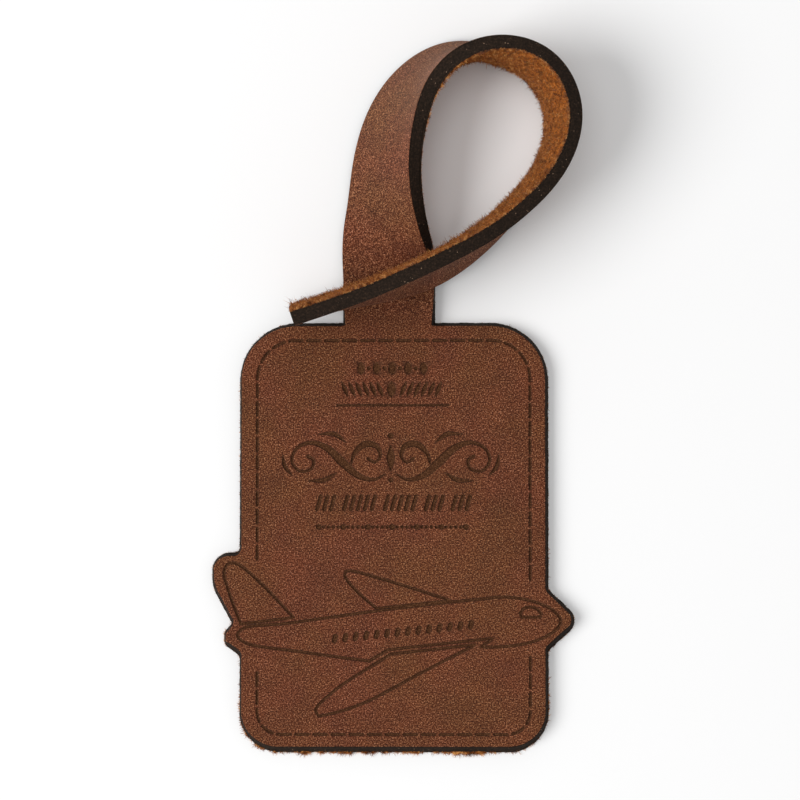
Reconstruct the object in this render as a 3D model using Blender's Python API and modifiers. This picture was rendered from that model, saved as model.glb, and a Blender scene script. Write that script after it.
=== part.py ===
"""Leather luggage tag: a flat body and its own strap, cut in one outline from a three-layer hide.

Frame: metres, +Z up. The tag lies on its back on the plane z = 0 with the back face's centre at the
origin, +Y towards the strap and +X to the right. Values are in millimetres; MM turns them into metres.

Three layers show at every cut edge: a thin nubuck face, a burnt core and a suede back. Each layer of
the body and of every strap link is a separate solid. The strap is flexible leather: it leaves the body
flat, rolls up on to its edge, loops round clockwise and crosses over its own root. It is divided into
links that meet at flex lines, and each link hangs from an empty that sits on its flex line.
"""
import math

import bmesh
import bpy
import numpy as np
from mathutils import Matrix, Vector

MM = 0.001

# Layers, from the back up
BACK_THICKNESS = 0.6
CORE_THICKNESS = 2.2
FACE_THICKNESS = 0.4
GLUE_LINE = 0.1
CORE_INSET = 0.25           # the cut slopes in a little from the back outline to the face outline
FACE_INSET = 0.55
THICKNESS = BACK_THICKNESS + CORE_THICKNESS + FACE_THICKNESS + 2 * GLUE_LINE

# Body outline, measured on the back
BODY_WIDTH = 77.0
BODY_HEIGHT = 107.0
TOP_RADIUS = 14.5
BOTTOM_RADIUS = 10.0

# Right lobe, round the nose of the aeroplane
NOSE_TOP = -13.0            # heights of its ends and tip, from the body's centre
NOSE_TIP = -20.8
NOSE_BOTTOM = -28.3
NOSE_REACH = 8.2            # how far its unrounded tip stands out from the body's side
NOSE_RADIUS = 3.8

# Left lobe, round the fin and the tail
FIN_TOP = -3.8
FIN_WAIST = -21.5
FIN_REACH = 7.2
FIN_SLANT = 8.8             # drop from the fin's upper corner to its lower corner
FIN_TUCK = 0.5              # how far the lower corner lies inside the upper one
FIN_WAIST_REACH = 1.9
FIN_RADIUS = 4.6
FIN_LOW_RADIUS = 9.2
TAIL_BOTTOM = -29.6
TAIL_REACH = 3.9
TAIL_LOW = -26.65           # height of the corner where its end meets its slanted lower side
TAIL_RADIUS = 2.2
LOBE_BLEND = 1.2            # hollow radius where a lobe runs into the body's side
WAIST_BLEND = 0.6           # and where the fin meets the tail

# Strap
STRAP_WIDTH = 23.0
STRAP_CENTRE = -1.2         # x of the strap's middle at the body
TAB_LENGTH = 1.5            # root of the strap that belongs to the body
FIRST_LINK_LENGTH = 9.0     # flat stretch that the free end crosses over
LINK_COUNT = 11
FLEX_GAP = 0.6              # between two links
STEM_FLEXES = 5             # flex lines, counted from the root, that only bend towards the suede
LOOP_FLEX_PROUD = 0.5       # the others lie this far out of the face, level with the flared edges
FOLD_SWING = 30.0           # degrees either way that the root fold's gap leaves room for
FOLD_SPARE = 0.2
FLOOR_CLEARANCE = 0.05      # under the strap's low edge where it stands on the table
CROSSING_CLEARANCE = 1.0    # under the strap's low edge where it crosses over its root
FLARE_SHARE = 0.6           # share of the cupping that lifts the edges; the rest drops the middle

# Strap route. Each station: the line that x is measured from (-1 is the strap's left edge at the body, 0
# its middle and 1 its right edge), x from that line, y from the body's top edge, how far the low edge
# has climbed on to the strap's own root (0 on the table, 1 across the root), roll in degrees from flat,
# and how far the section is cupped.
ROUTE = (
    (0.0, 0.0, 0.0, 0.0, 0.0, 0.0),
    (0.0, 0.0, 5.0, 0.03, 0.0, 0.0),
    (0.0, 0.0, 10.5, 0.03, 0.5, 0.0),
    (0.0, -0.2, 16.5, 0.0, 12.0, 0.2),
    (0.0, -0.5, 24.5, 0.0, 34.0, 0.4),
    (0.0, -0.4, 36.5, 0.05, 48.0, 0.7),
    (0.0, 1.9, 48.5, 0.1, 54.0, 0.9),
    (0.25, 4.925, 59.3, 0.1, 64.0, 1.2),
    (0.5, 10.75, 65.5, 0.12, 76.0, 1.5),
    (0.75, 19.075, 66.3, 0.1, 91.5, 1.6),
    (1.0, 26.5, 61.3, 0.05, 101.0, 1.6),
    (1.0, 31.2, 51.0, 0.0, 104.0, 1.6),
    (1.0, 28.9, 39.9, 0.0, 102.5, 1.9),
    (1.0, 20.8, 28.8, 0.15, 97.0, 2.4),
    (1.0, 10.3, 19.4, 0.75, 89.5, 2.9),
    (1.0, -1.3, 12.4, 1.3, 84.5, 2.8),
    (0.0, -2.7, 7.4, 1.1, 89.5, 2.2),
    (-1.0, -1.6, 4.3, 1.0, 94.5, 1.5),
    (-1.0, -11.9, 1.0, 1.0, 97.0, 0.9),
)
ROUTE_SAMPLES = 800
GRID_ALONG = 6              # faces along and across each layer of a link
GRID_ACROSS = 6
ARC_STEP = math.radians(9)

TOP_EDGE = BODY_HEIGHT / 2
TAB_END = TOP_EDGE + TAB_LENGTH
FOLD_GAP = THICKNESS * math.tan(math.radians(FOLD_SWING) / 2) + FOLD_SPARE

# name, thickness, height of the layer's underside above the back, inset from the back outline
LAYERS = (
    ("back", BACK_THICKNESS, 0.0, 0.0),
    ("core", CORE_THICKNESS, BACK_THICKNESS + GLUE_LINE, CORE_INSET),
    ("face", FACE_THICKNESS, THICKNESS - FACE_THICKNESS, FACE_INSET),
)
COLOURS = {                 # linear RGB, roughness
    "back": ((0.40, 0.17, 0.05), 0.95),
    "core": ((0.016, 0.011, 0.008), 0.85),
    "face": ((0.125, 0.045, 0.022), 0.80),
}


# ---------------------------------------------------------------- scene helpers

def clear_scene():
    for old in list(bpy.data.objects):
        bpy.data.objects.remove(old, do_unlink=True)


def make_collection(name):
    collection = bpy.data.collections.new(name)
    bpy.context.scene.collection.children.link(collection)
    return collection


def make_materials():
    materials = {}
    for layer, (colour, roughness) in COLOURS.items():
        material = bpy.data.materials.new("leather_" + layer)
        material.use_nodes = True
        shader = material.node_tree.nodes["Principled BSDF"]
        shader.inputs["Base Color"].default_value = (*colour, 1.0)
        shader.inputs["Roughness"].default_value = roughness
        shader.inputs["Metallic"].default_value = 0.0
        materials[layer] = material
    return materials


# ---------------------------------------------------------------- tag body

def body_corners():
    """Corners of the back outline, clockwise from the tab: x, y and rounding (negative in a hollow)."""
    side = BODY_WIDTH / 2
    tab_left = STRAP_CENTRE - STRAP_WIDTH / 2
    tab_right = STRAP_CENTRE + STRAP_WIDTH / 2
    tail = -side - TAIL_REACH
    return [
        (tab_left, TAB_END, 0.0),
        (tab_right, TAB_END, 0.0),
        (tab_right, TOP_EDGE, 0.0),
        (side, TOP_EDGE, TOP_RADIUS),
        (side, NOSE_TOP, -LOBE_BLEND),
        (side + NOSE_REACH, NOSE_TIP, NOSE_RADIUS),
        (side, NOSE_BOTTOM, -LOBE_BLEND),
        (side, -TOP_EDGE, BOTTOM_RADIUS),
        (-side, -TOP_EDGE, BOTTOM_RADIUS),
        (-side, TAIL_BOTTOM, -LOBE_BLEND),
        (tail, TAIL_LOW, TAIL_RADIUS),
        (tail, FIN_WAIST - TAIL_RADIUS, TAIL_RADIUS),
        (-side - FIN_WAIST_REACH, FIN_WAIST, -WAIST_BLEND),
        (-side - FIN_REACH + FIN_TUCK, FIN_TOP - FIN_SLANT, FIN_LOW_RADIUS),
        (-side - FIN_REACH, FIN_TOP, FIN_RADIUS),
        (-side, FIN_TOP, -LOBE_BLEND),
        (-side, TOP_EDGE, TOP_RADIUS),
        (tab_left, TOP_EDGE, 0.0),
    ]


def inset_corners(corners, inset):
    """Move every side of the outline inwards by inset, except the tab's end, which stays put."""
    count = len(corners)
    moved = []
    for index, (x, y, radius) in enumerate(corners):
        before = Vector(corners[index - 1][:2])
        here = Vector((x, y))
        after = Vector(corners[(index + 1) % count][:2])
        incoming = (here - before).normalized()
        outgoing = (after - here).normalized()
        inward_in = Vector((incoming.y, -incoming.x))
        inward_out = Vector((outgoing.y, -outgoing.x))
        mitre = (inward_in + inward_out) / (1 + inward_in.dot(inward_out))
        shift = mitre * inset
        if y == TAB_END:
            shift = Vector((inward_out.x + inward_in.x, 0.0)) * inset
        if radius > 0:
            radius = max(radius - inset, 0.1)
        elif radius < 0:
            radius = radius - inset
        moved.append((here.x + shift.x, here.y + shift.y, radius))
    return moved


def rounded_outline(corners):
    """Points of a closed outline whose corners are rounded to their own radii."""
    count = len(corners)
    points = []
    for index, (x, y, radius) in enumerate(corners):
        here = Vector((x, y))
        if radius == 0:
            points.append(here)
            continue
        to_before = (Vector(corners[index - 1][:2]) - here).normalized()
        to_after = (Vector(corners[(index + 1) % count][:2]) - here).normalized()
        half = to_before.angle(to_after) / 2
        reach = abs(radius) / math.tan(half)
        centre = here + (to_before + to_after).normalized() * abs(radius) / math.sin(half)
        start = here + to_before * reach - centre
        end = here + to_after * reach - centre
        sweep = math.copysign(math.pi - 2 * half, start.x * end.y - start.y * end.x)
        steps = max(2, round(abs(sweep) / ARC_STEP))
        for step in range(steps + 1):
            angle = sweep * step / steps
            points.append(centre + Matrix.Rotation(angle, 2) @ start)
    return points


def make_tag_layer(layer, thickness, underside, inset, material, collection):
    outline = rounded_outline(inset_corners(body_corners(), inset))
    name = "tag_" + layer
    curve = bpy.data.curves.new(name, "CURVE")
    curve.dimensions = "2D"
    curve.fill_mode = "BOTH"
    curve.extrude = thickness / 2 * MM
    spline = curve.splines.new("POLY")
    spline.points.add(len(outline) - 1)
    for spline_point, corner in zip(spline.points, outline):
        spline_point.co = (corner.x * MM, corner.y * MM, 0.0, 1.0)
    spline.use_cyclic_u = True
    curve.materials.append(material)
    layer_object = bpy.data.objects.new(name, curve)
    layer_object.location.z = (underside + thickness / 2) * MM
    collection.objects.link(layer_object)


# ---------------------------------------------------------------- strap route

def natural_spline(parameter, values, at):
    """Natural cubic spline through values (one row per station), read at the given parameters."""
    count = len(parameter)
    step = np.diff(parameter)
    matrix = np.eye(count)
    right = np.zeros_like(values)
    for i in range(1, count - 1):
        matrix[i, i - 1:i + 2] = step[i - 1], 2 * (step[i - 1] + step[i]), step[i]
        slope_after = (values[i + 1] - values[i]) / step[i]
        slope_before = (values[i] - values[i - 1]) / step[i - 1]
        right[i] = 6 * (slope_after - slope_before)
    bend = np.linalg.solve(matrix, right)
    left = np.clip(np.searchsorted(parameter, at, side="right") - 1, 0, count - 2)
    width = step[left][:, None]
    a = (parameter[left + 1] - at)[:, None] / width
    b = 1 - a
    curved = ((a ** 3 - a) * bend[left] + (b ** 3 - b) * bend[left + 1]) * width ** 2 / 6
    return a * values[left] + b * values[left + 1] + curved


def unit_rows(rows):
    return rows / np.linalg.norm(rows, axis=1)[:, None]


class StrapRoute:
    """The strap's mid line, with its width direction, its outward (face) normal and its cupping."""

    def __init__(self):
        stations = np.array([self.station(*row) for row in ROUTE])
        chord = np.append(0.0, np.cumsum(np.linalg.norm(np.diff(stations[:, :3], axis=0), axis=1)))
        fine = natural_spline(chord, stations, np.linspace(0.0, chord[-1], 5 * ROUTE_SAMPLES))
        length = np.append(0.0, np.cumsum(np.linalg.norm(np.diff(fine[:, :3], axis=0), axis=1)))
        self.length = length[-1]
        self.at = np.linspace(0.0, self.length, ROUTE_SAMPLES)
        even = np.stack([np.interp(self.at, length, column) for column in fine.T], axis=1)
        self.middle = even[:, :3]
        self.cup = even[:, 4]
        self.along = unit_rows(np.gradient(self.middle, self.at, axis=0))
        level = unit_rows(np.cross(self.along, (0.0, 0.0, 1.0)))
        above = np.cross(level, self.along)
        roll = even[:, 3][:, None]
        self.across = np.cos(roll) * level + np.sin(roll) * above
        self.outward = np.cross(self.across, self.along)

    @staticmethod
    def station(line, x, y, climb, roll_degrees, cup):
        """Height of the mid line such that the low edge stands on the table or clears the root."""
        roll = math.radians(roll_degrees)
        lift = FLOOR_CLEARANCE * (roll_degrees > 0) + climb * (THICKNESS + CROSSING_CLEARANCE)
        z = STRAP_WIDTH / 2 * math.sin(roll) + THICKNESS / 2 * abs(math.cos(roll)) + lift
        z -= FLARE_SHARE * cup * math.cos(roll)
        return STRAP_CENTRE + line * STRAP_WIDTH / 2 + x, TOP_EDGE + y, z, roll, cup

    def read(self, rows, s):
        return np.array([np.interp(s, self.at, column) for column in rows.T])

    def point(self, s, side, half_width):
        """A point on the cupped middle surface: s along the strap, side -1 (low edge) to 1 (high edge)."""
        flare = np.interp(s, self.at, self.cup) * (side * side - (1 - FLARE_SHARE))
        across = self.read(self.across, s) * side * half_width
        return self.read(self.middle, s) + across + self.read(self.outward, s) * flare


def flex_lines(route):
    """Distances along the strap of the flex lines, one at the start of each link, and of its end."""
    first = TAB_LENGTH + FIRST_LINK_LENGTH
    rest = np.linspace(first, route.length, LINK_COUNT)
    return [TAB_LENGTH + FOLD_GAP / 2, *rest]


# ---------------------------------------------------------------- strap links

def flex_depth(index):
    """How far out of the middle surface a flex line lies, so that the links' ends open as they bend."""
    if index == 0:
        return 0.0
    if index < STEM_FLEXES:
        return -THICKNESS / 2
    return THICKNESS / 2 + LOOP_FLEX_PROUD


def flex_pivot(route, s, index):
    return route.read(route.middle, s) + route.read(route.outward, s) * flex_depth(index)


def make_link_layer(route, name, start, end, layer, pivot, parent, material, collection):
    """One layer of a link: a grid on the strap's middle surface, thickened where the layer lies."""
    _, thickness, underside, inset = layer
    grid = bmesh.new()
    bmesh.ops.create_grid(grid, x_segments=GRID_ACROSS, y_segments=GRID_ALONG, size=1.0)
    for vertex in grid.verts:
        s = start + (end - start) * (vertex.co.y + 1) / 2
        place = route.point(s, vertex.co.x, STRAP_WIDTH / 2 - inset)
        vertex.co = Vector(place - pivot) * MM
    mesh = bpy.data.meshes.new(name)
    grid.to_mesh(mesh)
    grid.free()
    mesh.shade_smooth()
    mesh.materials.append(material)
    link = bpy.data.objects.new(name, mesh)
    layer_middle = underside + thickness / 2 - THICKNESS / 2
    solid = link.modifiers.new("thickness", "SOLIDIFY")
    solid.thickness = thickness * MM
    solid.offset = 2 * layer_middle / thickness
    link.parent = parent
    collection.objects.link(link)


def make_strap(materials, collection):
    route = StrapRoute()
    lines = flex_lines(route)
    parent = None
    parent_pivot = np.zeros(3)
    for index in range(LINK_COUNT):
        pivot = flex_pivot(route, lines[index], index)
        holder = bpy.data.objects.new(f"flex_line_{index + 1:02d}", None)
        holder.empty_display_size = 5 * MM
        holder.location = Vector(pivot - parent_pivot) * MM
        holder.parent = parent
        collection.objects.link(holder)
        start = lines[index] + (FOLD_GAP if index == 0 else FLEX_GAP) / 2
        end = lines[index + 1] - (FLEX_GAP / 2 if index + 1 < LINK_COUNT else 0.0)
        for layer in LAYERS:
            name = f"strap_{index + 1:02d}_{layer[0]}"
            make_link_layer(route, name, start, end, layer, pivot, holder, materials[layer[0]], collection)
        parent = holder
        parent_pivot = pivot


def main():
    clear_scene()
    collection = make_collection("luggage_tag")
    materials = make_materials()
    for layer, thickness, underside, inset in LAYERS:
        make_tag_layer(layer, thickness, underside, inset, materials[layer], collection)
    make_strap(materials, collection)


main()
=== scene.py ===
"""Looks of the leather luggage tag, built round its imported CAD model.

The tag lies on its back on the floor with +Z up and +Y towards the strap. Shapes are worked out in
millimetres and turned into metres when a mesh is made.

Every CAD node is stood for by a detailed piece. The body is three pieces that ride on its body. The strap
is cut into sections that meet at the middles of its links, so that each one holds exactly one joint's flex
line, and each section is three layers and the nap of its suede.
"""

import math

import bpy
import numpy as np
from mathutils import Matrix, Vector
from mathutils.geometry import delaunay_2d_cdt
from numpy.linalg import norm


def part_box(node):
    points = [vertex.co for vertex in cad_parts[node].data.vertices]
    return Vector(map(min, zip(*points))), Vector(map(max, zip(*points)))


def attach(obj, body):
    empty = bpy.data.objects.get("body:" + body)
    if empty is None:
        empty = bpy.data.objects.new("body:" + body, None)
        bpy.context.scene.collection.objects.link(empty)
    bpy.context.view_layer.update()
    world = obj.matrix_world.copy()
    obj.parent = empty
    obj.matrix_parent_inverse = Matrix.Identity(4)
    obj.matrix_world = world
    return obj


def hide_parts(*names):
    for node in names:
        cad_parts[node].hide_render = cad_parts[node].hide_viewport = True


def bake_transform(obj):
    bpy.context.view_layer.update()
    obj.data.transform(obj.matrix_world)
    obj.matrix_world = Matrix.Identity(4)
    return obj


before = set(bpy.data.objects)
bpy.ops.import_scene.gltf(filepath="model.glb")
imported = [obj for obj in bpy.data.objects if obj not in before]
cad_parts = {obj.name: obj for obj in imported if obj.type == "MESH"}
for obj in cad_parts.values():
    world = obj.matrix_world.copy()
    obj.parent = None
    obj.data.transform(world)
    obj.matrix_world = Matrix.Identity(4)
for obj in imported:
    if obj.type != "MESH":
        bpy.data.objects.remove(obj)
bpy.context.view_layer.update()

MM = 0.001
LINKS = 11

# Levels of the layers, read from the CAD model
back_low, back_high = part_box("tag_back")
core_low, core_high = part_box("tag_core")
face_low, face_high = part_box("tag_face")
THICKNESS = face_high.z / MM
BACK_TOP = back_high.z / MM
FACE_BASE = face_low.z / MM
BODY_BOTTOM = back_low.y / MM

# ---- outline of the body, on its back

BODY_WIDTH = 77.0
BODY_HEIGHT = 107.0
TOP_RADIUS = 14.5
BOTTOM_RADIUS = 10.0
STRAP_WIDTH = 23.0
STRAP_CENTRE = -1.2
TOP_EDGE = BODY_HEIGHT / 2
SEAM = 0.5  # the body's pieces end this far along the strap, where its first section starts
SEAM_Y = TOP_EDGE + SEAM
ARC_STEP = math.radians(9)
OUTLINE_STEP = 0.45


def body_corners():
    """Corners clockwise from the strap's root: x, y and rounding (negative in a hollow)."""
    side = BODY_WIDTH / 2
    left = STRAP_CENTRE - STRAP_WIDTH / 2
    right = STRAP_CENTRE + STRAP_WIDTH / 2
    return [
        (left, SEAM_Y, 0.0), (right, SEAM_Y, 0.0), (right, TOP_EDGE, 0.0),
        (side, TOP_EDGE, TOP_RADIUS),
        (side, -13.0, -1.2), (side + 8.2, -20.8, 3.8), (side, -28.3, -1.2),
        (side, -TOP_EDGE, BOTTOM_RADIUS), (-side, -TOP_EDGE, BOTTOM_RADIUS),
        (-side, -29.6, -1.2), (-side - 3.9, -26.65, 2.2), (-side - 3.9, -23.7, 2.2),
        (-side - 1.9, -21.5, -0.6), (-side - 6.7, -12.6, 9.2), (-side - 7.2, -3.8, 4.6),
        (-side, -3.8, -1.2),
        (-side, TOP_EDGE, TOP_RADIUS), (left, TOP_EDGE, 0.0),
    ]


def unit_rows(rows):
    return rows / norm(rows, axis=-1)[..., None]


def rounded_outline(corners):
    count = len(corners)
    points = []
    for index, (x, y, radius) in enumerate(corners):
        here = Vector((x, y))
        if radius == 0:
            points.append(here)
            continue
        to_before = (Vector(corners[index - 1][:2]) - here).normalized()
        to_after = (Vector(corners[(index + 1) % count][:2]) - here).normalized()
        half = to_before.angle(to_after) / 2
        reach = abs(radius) / math.tan(half)
        centre = here + (to_before + to_after).normalized() * abs(radius) / math.sin(half)
        start = here + to_before * reach - centre
        end = here + to_after * reach - centre
        sweep = math.copysign(math.pi - 2 * half, start.x * end.y - start.y * end.x)
        steps = max(2, round(abs(sweep) / ARC_STEP * 2))
        for step in range(steps + 1):
            points.append(centre + Matrix.Rotation(sweep * step / steps, 2) @ start)
    return np.array(points)


def dense_outline():
    """The outline in short steps, and the inward mitre vector at each of its points."""
    rough = rounded_outline(body_corners())
    points = []
    for here, after in zip(rough, np.roll(rough, -1, axis=0)):
        count = max(1, int(norm(after - here) / OUTLINE_STEP))
        points += [here + (after - here) * i / count for i in range(count)]
    points = np.array(points)
    ahead = unit_rows(np.roll(points, -1, axis=0) - points)
    behind = np.roll(ahead, 1, axis=0)
    inward_in = np.stack([behind[:, 1], -behind[:, 0]], axis=1)
    inward_out = np.stack([ahead[:, 1], -ahead[:, 0]], axis=1)
    mitre = (inward_in + inward_out) / (1 + (inward_in * inward_out).sum(axis=1))[:, None]
    at_seam = np.abs(points[:, 1] - SEAM_Y) < 1e-6
    mitre[at_seam] = (inward_in + inward_out)[at_seam] * (1, 0)
    return points, mitre


OUTLINE, INWARD = dense_outline()


# ---- noise and mesh helpers

def value_noise(points, size, seed):
    """Smooth noise from -1 to 1 in two or three dimensions, with features about as big as size."""
    points = np.asarray(points, float) / size
    dims = points.shape[1]
    cell = np.floor(points).astype(np.int64)
    part = points - cell
    part = part * part * (3 - 2 * part)
    total = np.zeros(len(points))
    for corner in range(2 ** dims):
        offset = np.array([(corner >> axis) & 1 for axis in range(dims)])
        key = (cell + offset) @ np.array([73856093, 19349663, 83492791])[:dims] + seed * 2654435761
        key = (key ^ (key >> 13)) * 1274126177 & 0x7FFFFFFF
        key = (key ^ (key >> 16)) * 668265263 & 0x7FFFFFFF
        value = (key % 65536) / 32767.5 - 1
        total += value * np.prod(np.where(offset, part, 1 - part), axis=1)
    return total


SHARP_ANGLE = math.radians(65)


def new_object(name, data):
    thing = bpy.data.objects.new(name, data)
    bpy.context.scene.collection.objects.link(thing)
    return thing


def make_mesh(name, points, faces, materials, face_materials=None, normals=None):
    """A mesh object from points in millimetres. Normals, one per corner of each face, are optional."""
    mesh = bpy.data.meshes.new(name)
    mesh.from_pydata((np.asarray(points) * MM).tolist(), [], faces)
    for material in materials:
        mesh.materials.append(material)
    if face_materials is not None:
        mesh.polygons.foreach_set("material_index", np.asarray(face_materials, np.int32))
    mesh.shade_smooth()
    if normals is None:
        mesh.set_sharp_from_angle(angle=SHARP_ANGLE)
    else:
        mesh.normals_split_custom_set(normals)
    mesh.update()
    return new_object(name, mesh)


def ring_faces(first, second, count):
    """Quads between two rings of vertices that start at the given indices."""
    return [(first + i, first + (i + 1) % count, second + (i + 1) % count, second + i)
            for i in range(count)]


def inside_polygon(points, polygon):
    x, y = points[:, 0][:, None], points[:, 1][:, None]
    ax, ay = polygon[:, 0], polygon[:, 1]
    bx, by = np.roll(ax, -1), np.roll(ay, -1)
    crosses = (ay > y) != (by > y)
    with np.errstate(divide="ignore", invalid="ignore"):
        at = (bx - ax) * (y - ay) / (by - ay) + ax
    return ((crosses & (x < at)).sum(axis=1) % 2).astype(bool)


def triangulate(boundary, rings, loose):
    """Delaunay triangles inside the boundary that keep every ring's edges: points and faces."""
    points, edges, count = [], [], 0
    for ring in [boundary, *rings]:
        edges += [(count + i, count + (i + 1) % len(ring)) for i in range(len(ring))]
        points.append(ring)
        count += len(ring)
    points.append(loose)
    flat = [Vector(p) for p in np.concatenate(points).tolist()]
    found, _, faces, *_ = delaunay_2d_cdt(flat, edges, [], 0, 1e-5)
    found = np.array([tuple(p) for p in found])
    faces = np.array(faces)
    keep = inside_polygon(found[faces].mean(axis=1), boundary)
    return found, faces[keep]


def loose_points(boundary, pitch, seed, margin):
    """A jittered triangular grid of points inside the boundary, away from it by the margin."""
    low, high = boundary.min(axis=0), boundary.max(axis=0)
    rows = []
    for i, y in enumerate(np.arange(low[1], high[1], pitch * 0.866)):
        x = np.arange(low[0] + (i % 2) * pitch / 2, high[0], pitch)
        rows.append(np.column_stack([x, np.full(len(x), y)]))
    grid = np.concatenate(rows)
    grid = grid + np.random.default_rng(seed).uniform(-0.15, 0.15, grid.shape) * pitch
    grid = grid[inside_polygon(grid, boundary)]
    to_edge = np.concatenate([np.hypot(*(part[:, None] - boundary).transpose(2, 0, 1)).min(axis=1)
                              for part in np.array_split(grid, 20)])
    return grid[to_edge > margin]


# ---- materials

def srgb(red, green, blue):
    """Display values from 0 to 255 as a linear colour."""
    channels = [c / 255 for c in (red, green, blue)]
    return [c / 12.92 if c <= 0.04045 else ((c + 0.055) / 1.055) ** 2.4 for c in channels] + [1.0]


class Shader:
    """A Principled material that is wired node by node. Noise sizes are in millimetres."""

    def __init__(self, name, **values):
        self.material = bpy.data.materials.new(name)
        self.material.use_nodes = True
        self.tree = self.material.node_tree
        self.shader = self.tree.nodes["Principled BSDF"]
        for socket, value in values.items():
            self.shader.inputs[socket.replace("_", " ")].default_value = value
        self.place = self.add("TexCoord").outputs["Object"]

    def add(self, kind, **settings):
        node = self.tree.nodes.new("ShaderNode" + kind)
        for key, value in settings.items():
            setattr(node, key, value)
        return node

    def link(self, output, node_input):
        self.tree.links.new(output, node_input)

    def noise(self, size, detail=2.0, roughness=0.5, distortion=0.0):
        node = self.add("TexNoise")
        self.link(self.place, node.inputs["Vector"])
        for socket, value in (("Scale", 1 / (size * MM)), ("Detail", detail), ("Roughness", roughness),
                              ("Distortion", distortion)):
            node.inputs[socket].default_value = value
        return node.outputs["Fac"]

    def cells(self, size):
        node = self.add("TexVoronoi")
        self.link(self.place, node.inputs["Vector"])
        node.inputs["Scale"].default_value = 1 / (size * MM)
        return node.outputs["Distance"]

    def ramp(self, value, *stops):
        """A colour ramp; each stop is a position and a colour or a grey."""
        node = self.add("ValToRGB")
        elements = node.color_ramp.elements
        while len(elements) < len(stops):
            elements.new(0.5)
        for element, (position, colour) in zip(elements, stops):
            element.position = position
            element.color = colour if hasattr(colour, "__len__") else (colour, colour, colour, 1)
        self.link(value, node.inputs["Fac"])
        return node.outputs["Color"]

    def feed(self, node_input, value):
        """Links a socket's output, or sets a plain value."""
        if isinstance(value, bpy.types.NodeSocket):
            self.link(value, node_input)
        else:
            node_input.default_value = value

    def mix(self, amount, first, second, blend="MIX"):
        """Colours mixed. The node's colour sockets are inputs 6 and 7 and output 2."""
        node = self.add("Mix", data_type="RGBA", blend_type=blend)
        for index, value in ((0, amount), (6, first), (7, second)):
            self.feed(node.inputs[index], value)
        return node.outputs[2]

    def math(self, operation, *values):
        node = self.add("Math", operation=operation)
        for index, value in enumerate(values):
            self.feed(node.inputs[index], value)
        return node.outputs[0]

    def attribute(self, name):
        return self.add("Attribute", attribute_name=name).outputs["Fac"]

    def colour(self, output):
        self.link(output, self.shader.inputs["Base Color"])

    def bump(self, height, millimetres, strength=1.0):
        node = self.add("Bump")
        node.inputs["Strength"].default_value = strength
        node.inputs["Distance"].default_value = millimetres * MM
        self.link(height, node.inputs["Height"])
        self.link(node.outputs["Normal"], self.shader.inputs["Normal"])


def nubuck_material():
    """Brown nubuck: fine light speckle over mottled brown, darker where the laser scorched it."""
    s = Shader("nubuck", Roughness=0.80, Sheen_Weight=0.10, Sheen_Roughness=0.45,
               Sheen_Tint=srgb(235, 195, 170), Specular_IOR_Level=0.20)
    fine = s.noise(0.34, detail=3.0, roughness=0.9)
    base = s.ramp(fine, (0.34, srgb(28, 9, 0)), (0.45, srgb(74, 36, 15)), (0.51, srgb(99, 54, 29)),
                  (0.57, srgb(146, 97, 68)), (0.65, srgb(220, 176, 148)))
    patch = s.ramp(s.noise(17.0, detail=2.0, roughness=0.55), (0.36, 0.0), (0.64, 1.0))
    red = s.mix(1.0, base, srgb(247, 214, 198), "MULTIPLY")
    yellow = s.mix(1.0, base, srgb(241, 222, 190), "MULTIPLY")
    mottled = s.mix(patch, red, yellow)
    shade = s.ramp(s.noise(6.0, detail=4.0, roughness=0.6), (0.32, 0.76), (0.66, 1.0))
    shaded = s.mix(1.0, mottled, shade, "MULTIPLY")
    # Lighter where the strap curls, and a little along the rest of it: partly the nubuck stretched, partly
    # painted sheen and painted light.
    lighter = s.mix(1.0, shaded, srgb(62, 52, 44), "ADD")
    stretched_and_sheened = s.mix(s.attribute("stretch_and_sheen"), shaded, lighter)
    sparkle = s.ramp(s.cells(0.50), (0.05, 1.0), (0.17, 0.0))
    chance = s.ramp(s.noise(0.8, detail=1.0), (0.54, 0.0), (0.66, 0.6))
    speckled = s.mix(s.math("MULTIPLY", sparkle, chance), stretched_and_sheened, srgb(212, 168, 140))
    s.colour(s.mix(s.attribute("scorch"), speckled, srgb(44, 24, 10)))
    height = s.math("ADD", s.noise(0.25, detail=3.0, roughness=0.7), s.math("MULTIPLY", fine, 1.4))
    s.bump(height, 0.07, 0.8)
    return s.material


def groove_material():
    """Laser-engraved lines: the nubuck burnt to a darker brown."""
    s = Shader("engraving", Roughness=0.85, Specular_IOR_Level=0.12)
    fine = s.noise(0.34, detail=3.0, roughness=0.8)
    s.colour(s.ramp(fine, (0.34, srgb(42, 21, 7)), (0.5, srgb(70, 40, 19)), (0.66, srgb(118, 80, 54))))
    s.bump(fine, 0.06, 0.7)
    return s.material


def burnt_material():
    """Burnt cut edge: nearly black, fibrous, with flecks of dust."""
    s = Shader("burnt_edge", Roughness=0.85, Specular_IOR_Level=0.10)
    fine = s.noise(0.5, detail=4.0, roughness=0.7)
    base = s.ramp(fine, (0.3, srgb(22, 17, 12)), (0.55, srgb(42, 32, 25)), (0.75, srgb(70, 52, 39)))
    fleck = s.ramp(s.cells(0.95), (0.07, 1.0), (0.14, 0.0))
    chance = s.ramp(s.noise(1.3, detail=1.0), (0.50, 0.0), (0.60, 1.0))
    s.colour(s.mix(s.math("MULTIPLY", fleck, chance), base, srgb(188, 154, 128)))
    s.bump(s.math("ADD", fine, s.noise(0.22, detail=2.0)), 0.12, 0.9)
    return s.material


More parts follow.
